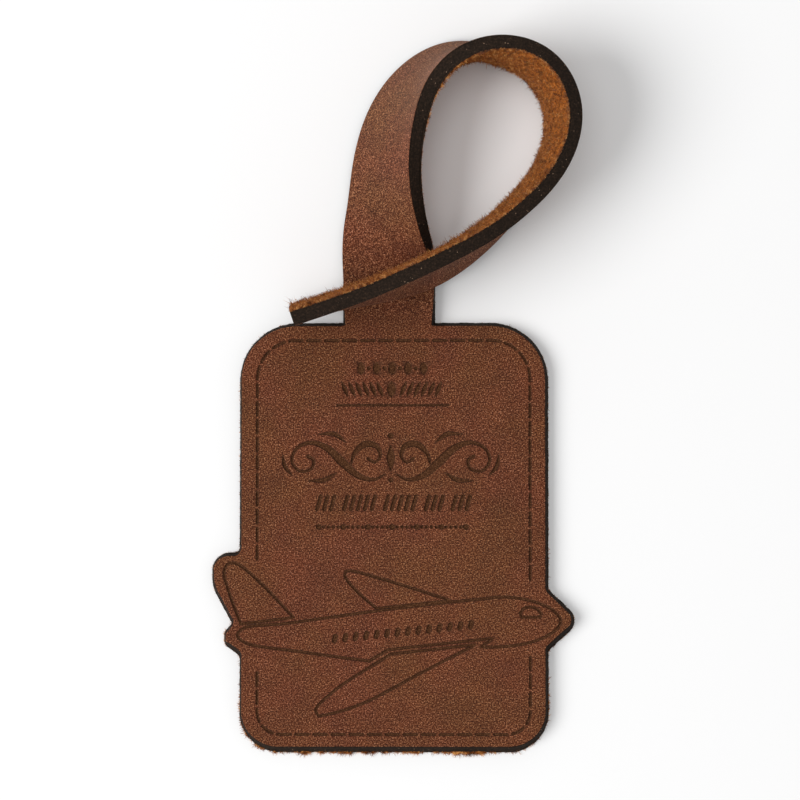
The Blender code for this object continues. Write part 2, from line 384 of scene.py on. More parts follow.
def suede_material():
    """Flesh side: orange-tan suede with a tangled nap."""
    s = Shader("suede", Roughness=0.95, Sheen_Weight=0.20, Sheen_Roughness=0.5,
               Sheen_Tint=srgb(255, 190, 120), Specular_IOR_Level=0.10)
    fine = s.noise(0.60, detail=5.0, roughness=0.75, distortion=0.8)
    base = s.ramp(fine, (0.34, srgb(74, 28, 4)), (0.47, srgb(144, 71, 19)), (0.64, srgb(214, 128, 52)))
    shade = s.ramp(s.noise(1.5, detail=4.0, roughness=0.7), (0.38, 0.34), (0.55, 1.0))
    s.colour(s.mix(1.0, base, shade, "MULTIPLY"))
    s.bump(s.math("ADD", fine, s.noise(0.25, detail=3.0, roughness=0.7)), 0.25, 1.0)
    return s.material


def fibre_material():
    """Single fibres of the nap, lighter than the surface they stand on."""
    s = Shader("suede_fibre", Roughness=0.9, Sheen_Weight=0.15, Specular_IOR_Level=0.12)
    s.colour(s.ramp(s.noise(1.1, detail=3.0), (0.34, srgb(76, 38, 11)), (0.5, srgb(152, 86, 35)),
                    (0.66, srgb(222, 160, 92))))
    return s.material


NUBUCK = nubuck_material()
GROOVE = groove_material()
BURNT = burnt_material()
SUEDE = suede_material()
FIBRE = fibre_material()


# ---- engraving

LINE = 0.27  # half width of an engraved line
GROOVE_DEPTH = 0.30
GROOVE_WALL = 0.10
LIP = 0.25  # the nubuck sinks a little this close to a groove, and is scorched
LIP_DROP = 0.03
FINEST = 0.03  # a stroke's ring is left out where it would be thinner than this


def catmull_rom(points, step):
    """Smooth line through control rows (x, y and any further values), read at short even steps."""
    points = np.asarray(points, float)
    if len(points) == 2:
        count = max(1, int(norm(points[1, :2] - points[0, :2]) / step))
        return points[0] + (points[1] - points[0]) * np.linspace(0, 1, count + 1)[:, None]
    padded = np.concatenate([[2 * points[0] - points[1]], points, [2 * points[-1] - points[-2]]])
    rows = [points[0]]
    for i in range(1, len(padded) - 2):
        p0, p1, p2, p3 = padded[i - 1:i + 3]
        knots = np.cumsum([0.0] + [max(1e-6, norm((b - a)[:2])) ** 0.5
                                   for a, b in ((p0, p1), (p1, p2), (p2, p3))])
        count = max(1, int(norm((p2 - p1)[:2]) / step))
        for t in np.linspace(knots[1], knots[2], count + 1)[1:]:
            level = [p0, p1, p2, p3]
            for low, high in (((0, 1, 2), (1, 2, 3)), ((0, 1), (2, 3)), ((1,), (2,))):
                level = [(level[j] * (knots[b] - t) + level[j + 1] * (t - knots[a])) / (knots[b] - knots[a])
                         for j, (a, b) in enumerate(zip(low, high))]
            rows.append(level[0])
    return np.array(rows)


def closed_line(*runs):
    """An engraved outline: smooth runs of x and y, joined end to start by straight lines."""
    rows = []
    for run, after in zip(runs, runs[1:] + runs[:1]):
        rows += [catmull_rom(run, 0.8)[:-1], catmull_rom([run[-1], after[0]], 0.8)[:-1]]
    line = np.concatenate(rows)
    return np.column_stack([line, np.full(len(line), LINE)]), True


def open_line(points, half_width=None, step=0.6):
    """An engraved stroke through rows of x and y, with its half width given or in a third column."""
    line = catmull_rom(points, step)
    if half_width is not None:
        line = np.column_stack([line[:, :2], np.full(len(line), half_width)])
    return line, False


def mitres(line, closed):
    """Left-hand mitre vectors along a line of points."""
    ahead = np.roll(line, -1, axis=0) - line
    if not closed:
        ahead[-1] = ahead[-2]
    ahead = unit_rows(ahead)
    behind = np.roll(ahead, 1, axis=0)
    if not closed:
        behind[0] = ahead[0]
    left_in = np.stack([-behind[:, 1], behind[:, 0]], axis=1)
    left_out = np.stack([-ahead[:, 1], ahead[:, 0]], axis=1)
    mitre = (left_in + left_out) / np.maximum(1 + (left_in * left_out).sum(axis=1), 0.3)[:, None]
    return mitre, ahead, behind


def stroke_rings(line, closed, offset):
    """Closed rings of points that run round a stroke at its half width plus offset."""
    centre, radius = line[:, :2], line[:, 2] + offset
    keep = radius > FINEST
    if not closed:
        if keep.sum() < 2:
            return []
        first, last = np.flatnonzero(keep)[[0, -1]]
        centre, radius = centre[first:last + 1], np.maximum(radius[first:last + 1], FINEST)
    elif not keep.all():
        return []
    mitre, ahead, behind = mitres(centre, closed)
    left = centre + mitre * radius[:, None]
    right = centre - mitre * radius[:, None]
    if closed:
        return [left, right]
    cap_steps = np.linspace(math.pi / 2, -math.pi / 2, 6)[1:-1]

    def cap(point, direction, size):
        angle = math.atan2(direction[1], direction[0])
        return point + size * np.array([(math.cos(angle + a), math.sin(angle + a)) for a in cap_steps])

    front = cap(centre[-1], ahead[-1], radius[-1])
    back = cap(centre[0], -behind[0], radius[0])
    return [np.concatenate([left, front, right[::-1], back])]


def border_dashes():
    """The dashed line that follows the body's sides, left open where the aeroplane crosses it."""
    inset, dash, gap = 4.55, 3.2, 1.3
    half_width, half_height = BODY_WIDTH / 2 - inset, BODY_HEIGHT / 2 - inset
    plain = [(-half_width, half_height, 9.6), (half_width, half_height, 9.6),
             (half_width, -half_height, 5.8), (-half_width, -half_height, 5.8)]
    loop = rounded_outline(plain)
    loop = np.concatenate([loop, loop[:1]])
    run = np.append(0.0, np.cumsum(norm(np.diff(loop, axis=0), axis=1)))
    count = round(run[-1] / (dash + gap))
    pitch = run[-1] / count
    strokes = []
    for i in range(count):
        at = np.linspace(i * pitch, i * pitch + dash, 6)
        line = np.stack([np.interp(at, run, loop[:, 0]), np.interp(at, run, loop[:, 1])], axis=1)
        x, y = line[:, 0].mean(), line[:, 1].mean()
        if abs(x) > half_width - 1 and (-31 < y < -5.25 if x < 0 else -28.75 < y < -10.5):
            continue
        strokes.append((np.column_stack([line, np.full(6, LINE)]), False))
    return strokes


def aeroplane():
    """Outline of the aeroplane: fin, fuselage, both wings and the cockpit window."""
    fin = closed_line([
        (-38.0, -21.6), (-41.2, -13.0), (-42.2, -8.9), (-41.5, -6.9), (-39.9, -6.4), (-38.0, -7.2),
        (-33.2, -11.3), (-24.8, -20.0)])
    fuselage = closed_line(
        [(-1.3, -27.95), (24.85, -25.1)],
        [(21.6, -27.3), (27.0, -27.2), (33.1, -26.35), (37.6, -24.8), (40.8, -22.5), (41.5, -20.6),
         (39.5, -18.1), (34.4, -15.9), (28.0, -14.9), (21.6, -15.4), (3.0, -17.45), (-12.0, -19.4),
         (-27.0, -21.5), (-37.2, -22.6), (-38.9, -24.4), (-37.0, -26.2), (-23.0, -28.5), (-6.1, -30.8)])
    far_wing = closed_line([
        (-4.2, -17.75), (-9.2, -13.4), (-12.1, -9.7), (-12.0, -8.5), (-10.6, -8.4), (-2.6, -10.5),
        (14.3, -15.75)])
    near_wing = closed_line([
        (20.4, -26.7), (5.7, -34.3), (-7.0, -41.0), (-14.7, -43.6), (-18.8, -44.2), (-19.4, -43.0),
        (-14.7, -38.15), (-0.7, -29.05)])
    cockpit = closed_line([
        (31.8, -19.9), (31.4, -18.9), (32.2, -17.8), (34.0, -17.35), (35.8, -17.9), (36.7, -19.0),
        (36.4, -19.9)])
    return [fin, fuselage, far_wing, near_wing, cockpit]


def lozenge(x, y, width, height):
    tip = 0.05
    return open_line([(x, y - height / 2, tip), (x, y, width / 2), (x, y + height / 2, tip)], step=0.3)


def dot(x, y, radius):
    return open_line([(x - 0.05, y, radius), (x + 0.05, y, radius)])


SCROLL_X = -0.7


def scroll():
    """A symmetrical calligraphic flourish. Rows of the right half: x from the middle, y and half width."""
    half = [
        [(1.4, 15.6, .12), (4.2, 14.3, .32), (8.0, 15.2, .65), (12.0, 18.6, .95), (16.0, 22.2, .75),
         (20.0, 23.5, .42), (23.6, 21.9, .30), (24.6, 18.7, .28), (22.6, 16.4, .26), (19.8, 17.0, .26),
         (19.2, 19.1, .30), (20.7, 20.1, .34)],
        [(9.9, 18.0, .12), (9.0, 20.9, .42), (6.4, 23.1, .72), (3.5, 22.6, .55), (2.6, 20.1, .30),
         (4.0, 18.6, .25), (5.6, 19.5, .30)],
        [(11.2, 23.6, .08), (14.0, 25.6, .50), (17.8, 25.6, .08)],
        [(13.6, 15.9, .08), (16.6, 14.2, .50), (20.4, 14.0, .08)],
        [(24.6, 15.4, .08), (26.4, 17.6, .42), (26.9, 20.4, .08)],
    ]
    strokes = [open_line([(SCROLL_X + side * x, y, w) for x, y, w in rows])
               for rows in half for side in (-1, 1)]
    return strokes + [lozenge(SCROLL_X, 19.6, 1.9, 6.4), dot(SCROLL_X, 25.2, 0.6), dot(SCROLL_X, 14.2, 0.5)]


def ornaments():
    """Plain geometric rows where a tag carries its heading and address, and the cabin windows."""
    pitch = 3.9
    strokes = [lozenge(-0.3 + (i - 2) * pitch, 42.0, 1.9, 3.1) for i in range(5)]
    strokes += [dot(-0.3 + (i - 1.5) * pitch, 42.0, 0.42) for i in range(4)]
    # Leaves that lean away from the middle
    strokes.append(lozenge(-0.5, 36.8, 2.2, 4.0))
    for i in range(6):
        for side in (-1, 1):
            x = -0.5 + side * (2.9 + 1.75 * i)
            lean = side * 0.7
            strokes.append(open_line([(x - lean, 35.1, .10), (x, 36.8, .48), (x + lean, 38.5, .10)]))
    strokes.append(open_line([(-14.0, 32.8), (13.7, 32.8)], 0.2))
    strokes += scroll()
    # Groups of slanted strokes
    x = -18.6
    for group in (3, 5, 5, 3, 3):
        for _ in range(group):
            strokes.append(open_line([(x - 0.45, 6.9), (x + 0.45, 10.1)], 0.40))
            x += 1.72
        x += 1.55
    # Beads
    strokes += [dot(-0.3 + (i - 15) * 1.22, 2.5, 0.33 if i % 5 else 0.62) for i in range(31)]
    # Cabin windows, on a line that climbs with the fuselage
    for i in range(14):
        x = -14.6 + 2.6 * i
        y = -25.35 + (x + 16.0) * 0.101
        strokes.append(open_line([(x - 0.15, y - 0.55), (x + 0.15, y + 0.55)], 0.55))
    return strokes


def depth_at(distance):
    """How far the surface lies under the top, by distance outside the nearest engraved stroke."""
    lip = LIP_DROP * np.clip(1 - distance / LIP, 0, 1) ** 2
    wall = (GROOVE_DEPTH - LIP_DROP) * np.clip(-distance / GROOVE_WALL, 0, 1)
    return lip + wall


class Engraving:
    """All strokes, as discs along their lines, so that overlapping strokes join into one hollow."""

    FAR = 2.0  # distances are capped here

    def __init__(self):
        self.strokes = border_dashes() + aeroplane() + ornaments()
        discs = []
        for line, closed in self.strokes:
            rows = np.concatenate([line, line[:1]]) if closed else line
            for start, end in zip(rows[:-1], rows[1:]):
                count = max(2, int(norm(end[:2] - start[:2]) / 0.06))
                discs.append(start + (end - start) * np.linspace(0, 1, count, endpoint=False)[:, None])
            discs.append(rows[-1:])
        discs = np.concatenate(discs)
        self.discs = discs[np.argsort(discs[:, 1])]

    def distance(self, points):
        """Signed distance to the nearest stroke."""
        reach = self.FAR + self.discs[:, 2].max()
        order = np.argsort(points[:, 1])
        result = np.full(len(points), self.FAR)
        for chunk in np.array_split(order, max(1, len(points) // 200)):
            y = points[chunk, 1]
            first = np.searchsorted(self.discs[:, 1], y.min() - reach)
            last = np.searchsorted(self.discs[:, 1], y.max() + reach)
            near = self.discs[first:last]
            if len(near) == 0:
                continue
            gap = np.hypot(points[chunk, 0][:, None] - near[:, 0], y[:, None] - near[:, 1]) - near[:, 2]
            result[chunk] = np.minimum(gap.min(axis=1), self.FAR)
        return result

    def rings(self):
        return [ring for line, closed in self.strokes for offset in (LIP, 0.0, -GROOVE_WALL)
                for ring in stroke_rings(line, closed, offset)]


# ---- body

# Profile of the cut edge, as inset from the back outline and height. The face's skin is rounded at the top.
FACE_RIM = ((0.62, FACE_BASE - 0.05), (0.50, FACE_BASE + 0.02), (0.50, THICKNESS - 0.17),
            (0.52, THICKNESS - 0.08), (0.60, THICKNESS - 0.02), (0.76, THICKNESS))
SKIN_FROM = 3  # the rim is burnt below this step of the profile
CORE_RIM = ((0.35, BACK_TOP - 0.12), (0.08, BACK_TOP - 0.04), (0.12, 0.95), (0.22, 1.40), (0.30, 1.85),
            (0.38, 2.30), (0.44, FACE_BASE - 0.14), (0.50, FACE_BASE - 0.03), (0.80, FACE_BASE))
SUEDE_RIM = ((0.55, 0.14), (0.22, 0.10), (0.07, 0.13), (0.00, 0.24), (0.02, 0.42), (0.06, BACK_TOP - 0.05),
             (0.45, BACK_TOP - 0.03))
BURNT_FROM = 1  # the suede's rim is burnt above this step
RAG = 0.16  # how far the suede's edge wanders


def wander(points, size, seed):
    return value_noise(points, size, seed) * 0.6 + value_noise(points, size / 2.7, seed + 1) * 0.4


WALL = 0.5  # inset of an even cut at the face; what lies further in is the rounding
TAPER_FLAT, TAPER_X, TAPER_Y, TAPER_YY = 0.70, -0.10, 0.30, 0.50


def taper(inward):
    """How much wider than WALL the cut slopes: most at the bottom, more on the right than on the left."""
    x, y = inward[..., 0], inward[..., 1]
    return (TAPER_FLAT + TAPER_X * x + TAPER_Y * y + TAPER_YY * y * y) / WALL


TAPER = taper(INWARD / np.maximum(norm(INWARD, axis=1), 1e-6)[:, None])


def outline_ring(inset, height, rough, seed, sloped):
    """The outline moved inwards, with its cut a little uneven, as points in space."""
    uneven = rough * wander(np.column_stack([OUTLINE, np.full(len(OUTLINE), height)]), 0.9, seed)
    uneven[np.abs(OUTLINE[:, 1] - SEAM_Y) < 1e-6] = 0.0
    if sloped:
        inset = min(inset, WALL) * TAPER + max(inset - WALL, 0.0)
    flat = OUTLINE + INWARD * (inset + uneven)[:, None]
    return np.column_stack([flat, np.full(len(flat), height)])


def flat_cap(ring, upwards):
    _, faces = triangulate(ring[:, :2], [], np.zeros((0, 2)))
    return [tuple(f) if upwards else tuple(f[::-1]) for f in faces.tolist()]


def orient(faces, points, upwards):
    """Triangles wound so that they look up, or down."""
    a, b, c = points[faces].transpose(1, 2, 0)
    area = (b[0] - a[0]) * (c[1] - a[1]) - (b[1] - a[1]) * (c[0] - a[0])
    wrong = (area > 0) != upwards
    return np.where(wrong[:, None], faces[:, ::-1], faces)


def rim_stack(profile, rough, seed, sloped=True):
    """Rings up the cut edge and the quads between them, looking outwards."""
    rings = [outline_ring(inset, height, rough * (0 < k < len(profile) - 1), seed, sloped)
             for k, (inset, height) in enumerate(profile)]
    count = len(OUTLINE)
    faces = []
    for k in range(len(rings) - 1):
        faces += ring_faces(k * count, (k + 1) * count, count)
    return np.concatenate(rings), [f[::-1] for f in faces]


def fill(points, faces, inner, triangles, first, count):
    """Adds a filled cap to a stack of rings, on the ring whose points start at first."""
    remap = np.concatenate([np.arange(count) + first, np.arange(len(inner) - count) + len(points)])
    return np.concatenate([points, inner[count:]]), faces + [tuple(f) for f in remap[triangles].tolist()]


def make_body():
    count = len(OUTLINE)
    engraving = Engraving()

    # Face: rim, relief on top, flat underneath
    points, faces = rim_stack(FACE_RIM, 0.02, 11)
    face_materials = [1 if i // count < SKIN_FROM else 0 for i in range(len(faces))]
    boundary = points[-count:, :2]
    loose = loose_points(boundary, 1.5, 5, 0.5)
    loose = loose[engraving.distance(loose) > LIP + 0.35]
    top, triangles = triangulate(boundary, engraving.rings(), loose)
    triangles = orient(triangles, top, True)
    height = THICKNESS - depth_at(engraving.distance(top))
    calm = np.clip((SEAM_Y - top[:, 1]) / 6, 0, 1)
    on_edge = np.arange(len(top)) < count
    height += np.where(on_edge, 0.0, 0.035 * calm * wander(top, 9.0, 3))
    middle = engraving.distance(top[triangles].mean(axis=1))
    points, faces = fill(points, faces, np.column_stack([top, height]), triangles, len(points) - count, count)
    face_materials += [2 if d < -GROOVE_WALL * 0.4 else 0 for d in middle]
    under = flat_cap(points[:count], False)
    faces += under
    face_materials += [1] * len(under)
    skin = make_mesh("tag_skin", points, faces, [NUBUCK, BURNT, GROOVE], face_materials)
    scorch = np.zeros(len(points), np.float32)
    scorch[-(len(top) - count):] = 0.8 * np.clip(1 - engraving.distance(top[count:]) / LIP, 0, 1)
    skin.data.attributes.new("scorch", "FLOAT", "POINT").data.foreach_set("value", scorch)

    # Core: burnt wall
    points, faces = rim_stack(CORE_RIM, 0.11, 21)
    faces += flat_cap(points[:count], False)
    faces += [tuple(int(i) + len(points) - count for i in f) for f in flat_cap(points[-count:], True)]
    edge = make_mesh("tag_burnt_edge", points, faces, [BURNT])

    # Back: ragged rim and a napped underside
    points, faces = rim_stack(SUEDE_RIM, RAG, 31, sloped=False)
    face_materials = [1 if i // count >= BURNT_FROM else 0 for i in range(len(faces))]
    boundary = points[:count, :2]
    under, triangles = triangulate(boundary, [], loose_points(boundary, 1.1, 6, 0.4))
    triangles = orient(triangles, under, False)
    height = SUEDE_RIM[0][1] + 0.06 * wander(under, 1.6, 7) + 0.04 * wander(under, 5.0, 8)
    under = np.column_stack([under, np.maximum(height, 0.03)])
    points, faces = fill(points, faces, under, triangles, 0, count)
    face_materials += [0] * len(triangles)
    top_ring = len(SUEDE_RIM) - 1
    lid = flat_cap(points[top_ring * count:(top_ring + 1) * count], True)
    faces += [tuple(i + top_ring * count for i in f) for f in lid]
    face_materials += [1] * len(lid)
    suede = make_mesh("tag_suede", points, faces, [SUEDE, BURNT], face_materials)
    return skin, edge, suede


# ---- strap route, as the CAD source has it

FIRST_LINK_END = 10.5
TAB_LENGTH = 1.5
FOLD_GAP = THICKNESS * math.tan(math.radians(15)) + 0.2
FOLD_AT = TAB_LENGTH + FOLD_GAP / 2  # distance along the strap of the root fold
ROUTE_SAMPLES = 800
FLOOR_CLEARANCE = 0.05
CROSSING_CLEARANCE = 1.0
FLARE_SHARE = 0.6
HALF = STRAP_WIDTH / 2
SWELL = 0.14  # the curled leather swells this much, mostly on the suede's side,
SWELL_FROM, SWELL_OVER = 15.0, 20.0  # from here on along the strap, over this length
SWELL_SHIFT = 0.9

# x from the strap's middle at the body, y from the body's top edge, climb on to the root, roll, cupping
ROUTE = (
    (0.0, 0.0, 0.0, 0.0, 0.0), (0.0, 5.0, 0.03, 0.0, 0.0), (0.0, 10.5, 0.03, 0.5, 0.0),
    (-0.2, 16.5, 0.0, 12.0, 0.2), (-0.5, 24.5, 0.0, 34.0, 0.4), (-0.4, 36.5, 0.05, 48.0, 0.7),
    (1.9, 48.5, 0.1, 54.0, 0.9), (7.8, 59.3, 0.1, 64.0, 1.2), (16.5, 65.5, 0.12, 76.0, 1.5),
    (27.7, 66.3, 0.1, 91.5, 1.6), (38.0, 61.3, 0.05, 101.0, 1.6), (42.7, 51.0, 0.0, 104.0, 1.6),
    (40.4, 39.9, 0.0, 102.5, 1.9), (32.3, 28.8, 0.15, 97.0, 2.4), (21.8, 19.4, 0.75, 89.5, 2.9),
    (10.2, 12.4, 1.3, 84.5, 2.8), (-2.7, 7.4, 1.1, 89.5, 2.2), (-13.1, 4.3, 1.0, 94.5, 1.5),
    (-23.4, 1.0, 1.0, 97.0, 0.9),
)


def natural_spline(parameter, values, at):
    count = len(parameter)
    step = np.diff(parameter)
    matrix = np.eye(count)
    right = np.zeros_like(values)
    for i in range(1, count - 1):
        matrix[i, i - 1:i + 2] = step[i - 1], 2 * (step[i - 1] + step[i]), step[i]
        right[i] = 6 * ((values[i + 1] - values[i]) / step[i] - (values[i] - values[i - 1]) / step[i - 1])
    bend = np.linalg.solve(matrix, right)
    left = np.clip(np.searchsorted(parameter, at, side="right") - 1, 0, count - 2)
    width = step[left][:, None]
    a = (parameter[left + 1] - at)[:, None] / width
    b = 1 - a
    curved = ((a ** 3 - a) * bend[left] + (b ** 3 - b) * bend[left + 1]) * width ** 2 / 6
    return a * values[left] + b * values[left + 1] + curved


class StrapRoute:
    def __init__(self):
        stations = []
        for x, y, climb, roll_degrees, cup in ROUTE:
            roll = math.radians(roll_degrees)
            lift = FLOOR_CLEARANCE * (roll_degrees > 0) + climb * (THICKNESS + CROSSING_CLEARANCE)
            z = HALF * math.sin(roll) + THICKNESS / 2 * abs(math.cos(roll)) + lift
            z -= FLARE_SHARE * cup * math.cos(roll)
            stations.append((STRAP_CENTRE + x, TOP_EDGE + y, z, roll, cup))
        stations = np.array(stations)
        chord = np.append(0.0, np.cumsum(norm(np.diff(stations[:, :3], axis=0), axis=1)))
        fine = natural_spline(chord, stations, np.linspace(0.0, chord[-1], 5 * ROUTE_SAMPLES))
        length = np.append(0.0, np.cumsum(norm(np.diff(fine[:, :3], axis=0), axis=1)))
        self.length = length[-1]
        self.at = np.linspace(0.0, self.length, ROUTE_SAMPLES)
        even = np.stack([np.interp(self.at, length, column) for column in fine.T], axis=1)
        self.middle, self.cup = even[:, :3], even[:, 4]
        self.along = unit_rows(np.gradient(self.middle, self.at, axis=0))
        level = unit_rows(np.cross(self.along, (0.0, 0.0, 1.0)))
        above = np.cross(level, self.along)
        roll = even[:, 3][:, None]
        self.across = np.cos(roll) * level + np.sin(roll) * above
        self.outward = np.cross(self.across, self.along)

    def read(self, rows, s):
        return np.stack([np.interp(s, self.at, column) for column in rows.T], axis=-1)

    def surface(self, s, u):
        """Points of the cupped middle surface, for arrays of distance along and distance across."""
        cup = np.interp(s, self.at, self.cup)
        flare = cup * ((u / HALF) ** 2 - (1 - FLARE_SHARE))
        settled = np.clip((s - SEAM) / 4, 0, 1)
        middle = self.read(self.middle, s)
        root = 1 - settled * settled * (3 - 2 * settled)
        middle[..., 2] += root * (THICKNESS / 2 - middle[..., 2])
        aside = self.read(self.across, s) * u[..., None]
        return middle + aside + self.read(self.outward, s) * flare[..., None]

    def normal(self, s, u):
        """The face-side normal of the middle surface."""
        step = 0.05
        before, after = np.maximum(s - step, 0), np.minimum(s + step, self.length)
        ahead = self.surface(after, u) - self.surface(before, u)
        aside = self.surface(s, u + step) - self.surface(s, u - step)
        return unit_rows(np.cross(aside, ahead))

    def place(self, s, u, height):
        """Points at a height above the middle surface, on the face side."""
        swell = SWELL * np.clip((s - SWELL_FROM) / SWELL_OVER, 0, 1)
        height = height * (1 + swell) - SWELL_SHIFT * swell
        return self.surface(s, u) + self.normal(s, u) * height[..., None]


route = StrapRoute()
flex_at = np.concatenate([[FOLD_AT], np.linspace(FIRST_LINK_END, route.length, LINKS)])
cut_at = np.concatenate([[SEAM], (flex_at[:-2] + flex_at[1:-1]) / 2, [route.length]])
CURL_AT, CURL_REACH = 72.0, 22.0  # where the curl is painted lighter: stretched nubuck and painted sheen

# ---- strap layers

# The strap's cut edges start with the body's slopes, left and right, and settle to an even one
ROOT_TAPER = (taper(np.array([1.0, 0.0])), taper(np.array([-1.0, 0.0])))
STRAP_SLOPE = 0.3  # share of WALL that the strap's cut slopes, away from the body
END_ROUNDING = 0.12  # the free end is this much narrower on each side


def layer_section(rim, pitch):
    """Closed cross-section of a layer, from low left: distance across and height from the middle."""
    left = [(-HALF + inset, z - THICKNESS / 2) for inset, z in rim]
    right = [(-x, z) for x, z in left[::-1]]
    count = max(2, int((right[0][0] - left[-1][0]) / pitch))
    top = np.linspace(left[-1], right[0], count + 1)[1:-1]
    low = np.linspace(right[-1], left[0], count + 1)[1:-1]
    return np.concatenate([left, top, right, low]), len(left), len(top)


def section_rows(step):
    """Distances along the strap for rings, with every cut between two sections among them."""
    rows = [np.linspace(start, end, max(2, int((end - start) / step)), endpoint=False)
            for start, end in zip(cut_at[:-1], cut_at[1:])]
    return np.concatenate(rows + [cut_at[-1:]])


def strap_layer(prefix, rim, pitch, step, materials, burnt, rough, seed, nap=0.0, sloped=True):
    """One layer of the strap as closed sections that share their cut rings."""
    section, rim_count, top_count = layer_section(rim, pitch)
    at = section_rows(step)
    ring = len(section)
    s, u = np.meshgrid(at, section[:, 0], indexing="ij")
    h = np.tile(section[:, 1], (len(at), 1))
    spot = np.stack([s.ravel(), u.ravel(), h.ravel()], axis=1)
    index = np.arange(ring)
    on_low = index >= 2 * rim_count + top_count
    on_rim = ~on_low & ((index < rim_count) | (index >= rim_count + top_count))
    calm = np.clip((s - SEAM) / 3, 0, 1)
    uneven = (rough * wander(spot, 0.9, seed)).reshape(s.shape) * calm
    inset = HALF - np.abs(u)
    slope = np.where(u < 0, ROOT_TAPER[0], ROOT_TAPER[1]) - 1
    settle = np.clip(1 - (s - SEAM) / 12, 0, 1) ** 2
    widened = np.minimum(inset, WALL) * ((slope + 1 - STRAP_SLOPE) * settle + STRAP_SLOPE - 1) * sloped
    u = u + np.where(on_rim, np.sign(u) * (uneven - widened), 0.0)
    if nap:
        rise = nap * wander(spot, 1.3, seed + 5) + nap * 0.7 * wander(spot, 4.5, seed + 6)
        h = h + np.where(on_low, rise.reshape(s.shape), 0.0) * calm
    u = np.where(s > route.length - 1e-6, u * (1 - END_ROUNDING / HALF), u)
    points = route.place(s, u, h)
    points[..., 2] = np.maximum(points[..., 2], 0.02)
    flat = points.reshape(-1, 3)
    quads = []
    for i in range(len(at) - 1):
        quads += ring_faces(i * ring, (i + 1) * ring, ring)
    whole = bpy.data.meshes.new("whole")
    whole.from_pydata(flat.tolist(), [], quads)
    normals = np.zeros(len(flat) * 3, np.float32)
    whole.vertex_normals.foreach_get("vector", normals)
    normals = normals.reshape(-1, 3)
    bpy.data.meshes.remove(whole)
    outwards = np.sign(((flat - flat.reshape(len(at), ring, 3).mean(axis=1).repeat(ring, axis=0))
                        * normals).sum())
    pieces = []
    for k in range(LINKS):
        rows = np.flatnonzero((at >= cut_at[k] - 1e-6) & (at <= cut_at[k + 1] + 1e-6))
        part = slice(rows[0] * ring, (rows[-1] + 1) * ring)
        own, own_normals = flat[part], normals[part] * outwards
        faces, face_materials, corner_normals = [], [], []
        for i in range(len(rows) - 1):
            for j, quad in enumerate(ring_faces(i * ring, (i + 1) * ring, ring)):
                faces.append(quad if outwards > 0 else quad[::-1])
                face_materials.append(int(burnt(j, 2 * rim_count + top_count - 1)))
                corner_normals += [own_normals[v] for v in faces[-1]]
        for row, reverse in ((0, outwards > 0), (len(rows) - 1, outwards < 0)):
            cap = list(range(row * ring, (row + 1) * ring))
            cap = cap[::-1] if reverse else cap
            faces.append(tuple(cap))
            face_materials.append(len(materials) - 1)
            a, b, c = own[cap[0]], own[cap[ring // 3]], own[cap[2 * ring // 3]]
            normal = np.cross(b - a, c - b)
            normal /= norm(normal)
            corner_normals += [normal] * ring
        piece = make_mesh(f"{prefix}_{k + 1:02d}", own, faces, materials, face_materials,
                          np.array(corner_normals).tolist())
        # Painted lightening along the strap, most at the curl: partly stretched nubuck, partly painted sheen
        # and painted light.
        stretch_and_sheen = piece.data.attributes.new("stretch_and_sheen", "FLOAT", "POINT")
        along = np.repeat(at[rows], ring)
        curl = 0.55 * np.exp(-((along - CURL_AT) / CURL_REACH) ** 2)
        curl += 0.12 * np.clip((along - 20) / 30, 0, 1)
        stretch_and_sheen.data.foreach_set("value", curl.astype(np.float32))
        pieces.append(piece)
    return pieces


def bend_across(piece):
    """Bakes the piece's placement into its mesh."""
    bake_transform(piece)


def make_strap():
    # Whether a quad is burnt, by its place in the ring of a section
    def skin_burnt(j, last):
        return j < SKIN_FROM or j >= last - SKIN_FROM

    def suede_burnt(j, last):
        return BURNT_FROM <= j < last - BURNT_FROM

    layers = (
        ("face", "nubuck_face", strap_layer("strap_skin", FACE_RIM, 0.9, 0.9, [NUBUCK, BURNT],
                                            skin_burnt, 0.02, 41)),
        ("core", "burnt_core", strap_layer("strap_edge", CORE_RIM, 4.0, 0.6, [BURNT],
                                           lambda *_: False, 0.08, 51)),
        ("back", "suede_back", strap_layer("strap_suede", SUEDE_RIM, 0.55, 0.6, [SUEDE, BURNT],
                                           suede_burnt, 0.10, 61, nap=0.06, sloped=False)),
    )
    for layer, slot, pieces in layers:
        for k, piece in enumerate(pieces):
            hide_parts(f"strap_{k + 1:02d}_{layer}")
            bend_across(piece)


# ---- nap

def fibre_mesh(name, root, tip, sag, radius):
    """Slender closed fibres: a triangular root, a bent middle and a point."""
    count = len(root)
    run = tip - root
    side = np.cross(run, np.where(np.abs(run[:, 2:3]) > 0.8 * norm(run, axis=1)[:, None],
                                  [[1.0, 0.0, 0.0]], [[0.0, 0.0, 1.0]]))
    side = unit_rows(side)
    other = unit_rows(np.cross(run, side))
    middle = root + run * 0.55 + sag
    points = np.zeros((count, 7, 3))
    for corner in range(3):
        angle = 2 * math.pi * corner / 3
        spoke = side * math.cos(angle) + other * math.sin(angle)
        points[:, corner] = root + spoke * radius[:, None]
        points[:, 3 + corner] = middle + spoke * radius[:, None] * 0.7
    points[:, 6] = tip
    points[..., 2] = np.maximum(points[..., 2], 0.015)
    pattern = [(0, 2, 1)]
    for corner in range(3):
        after = (corner + 1) % 3
        pattern.append((corner, after, 3 + after, 3 + corner))
        pattern.append((3 + corner, 3 + after, 6))
    faces = [tuple(v + 7 * i for v in face) for i in range(count) for face in pattern]
    return make_mesh(name, points.reshape(-1, 3), faces, [FIBRE])


NAP_CALM = 45.0  # the nap stays short up to this distance along the strap
WISPS_FROM = 140.0  # and its edge grows longer after this one
OVER_ROOT = 146.0, 182.0  # its low edge is worn short where it lies over the strap's root
WORN = 0.35
FIBRES_PER_AREA = 3.4  # a square millimetre
FIBRES_PER_EDGE = 16  # a millimetre


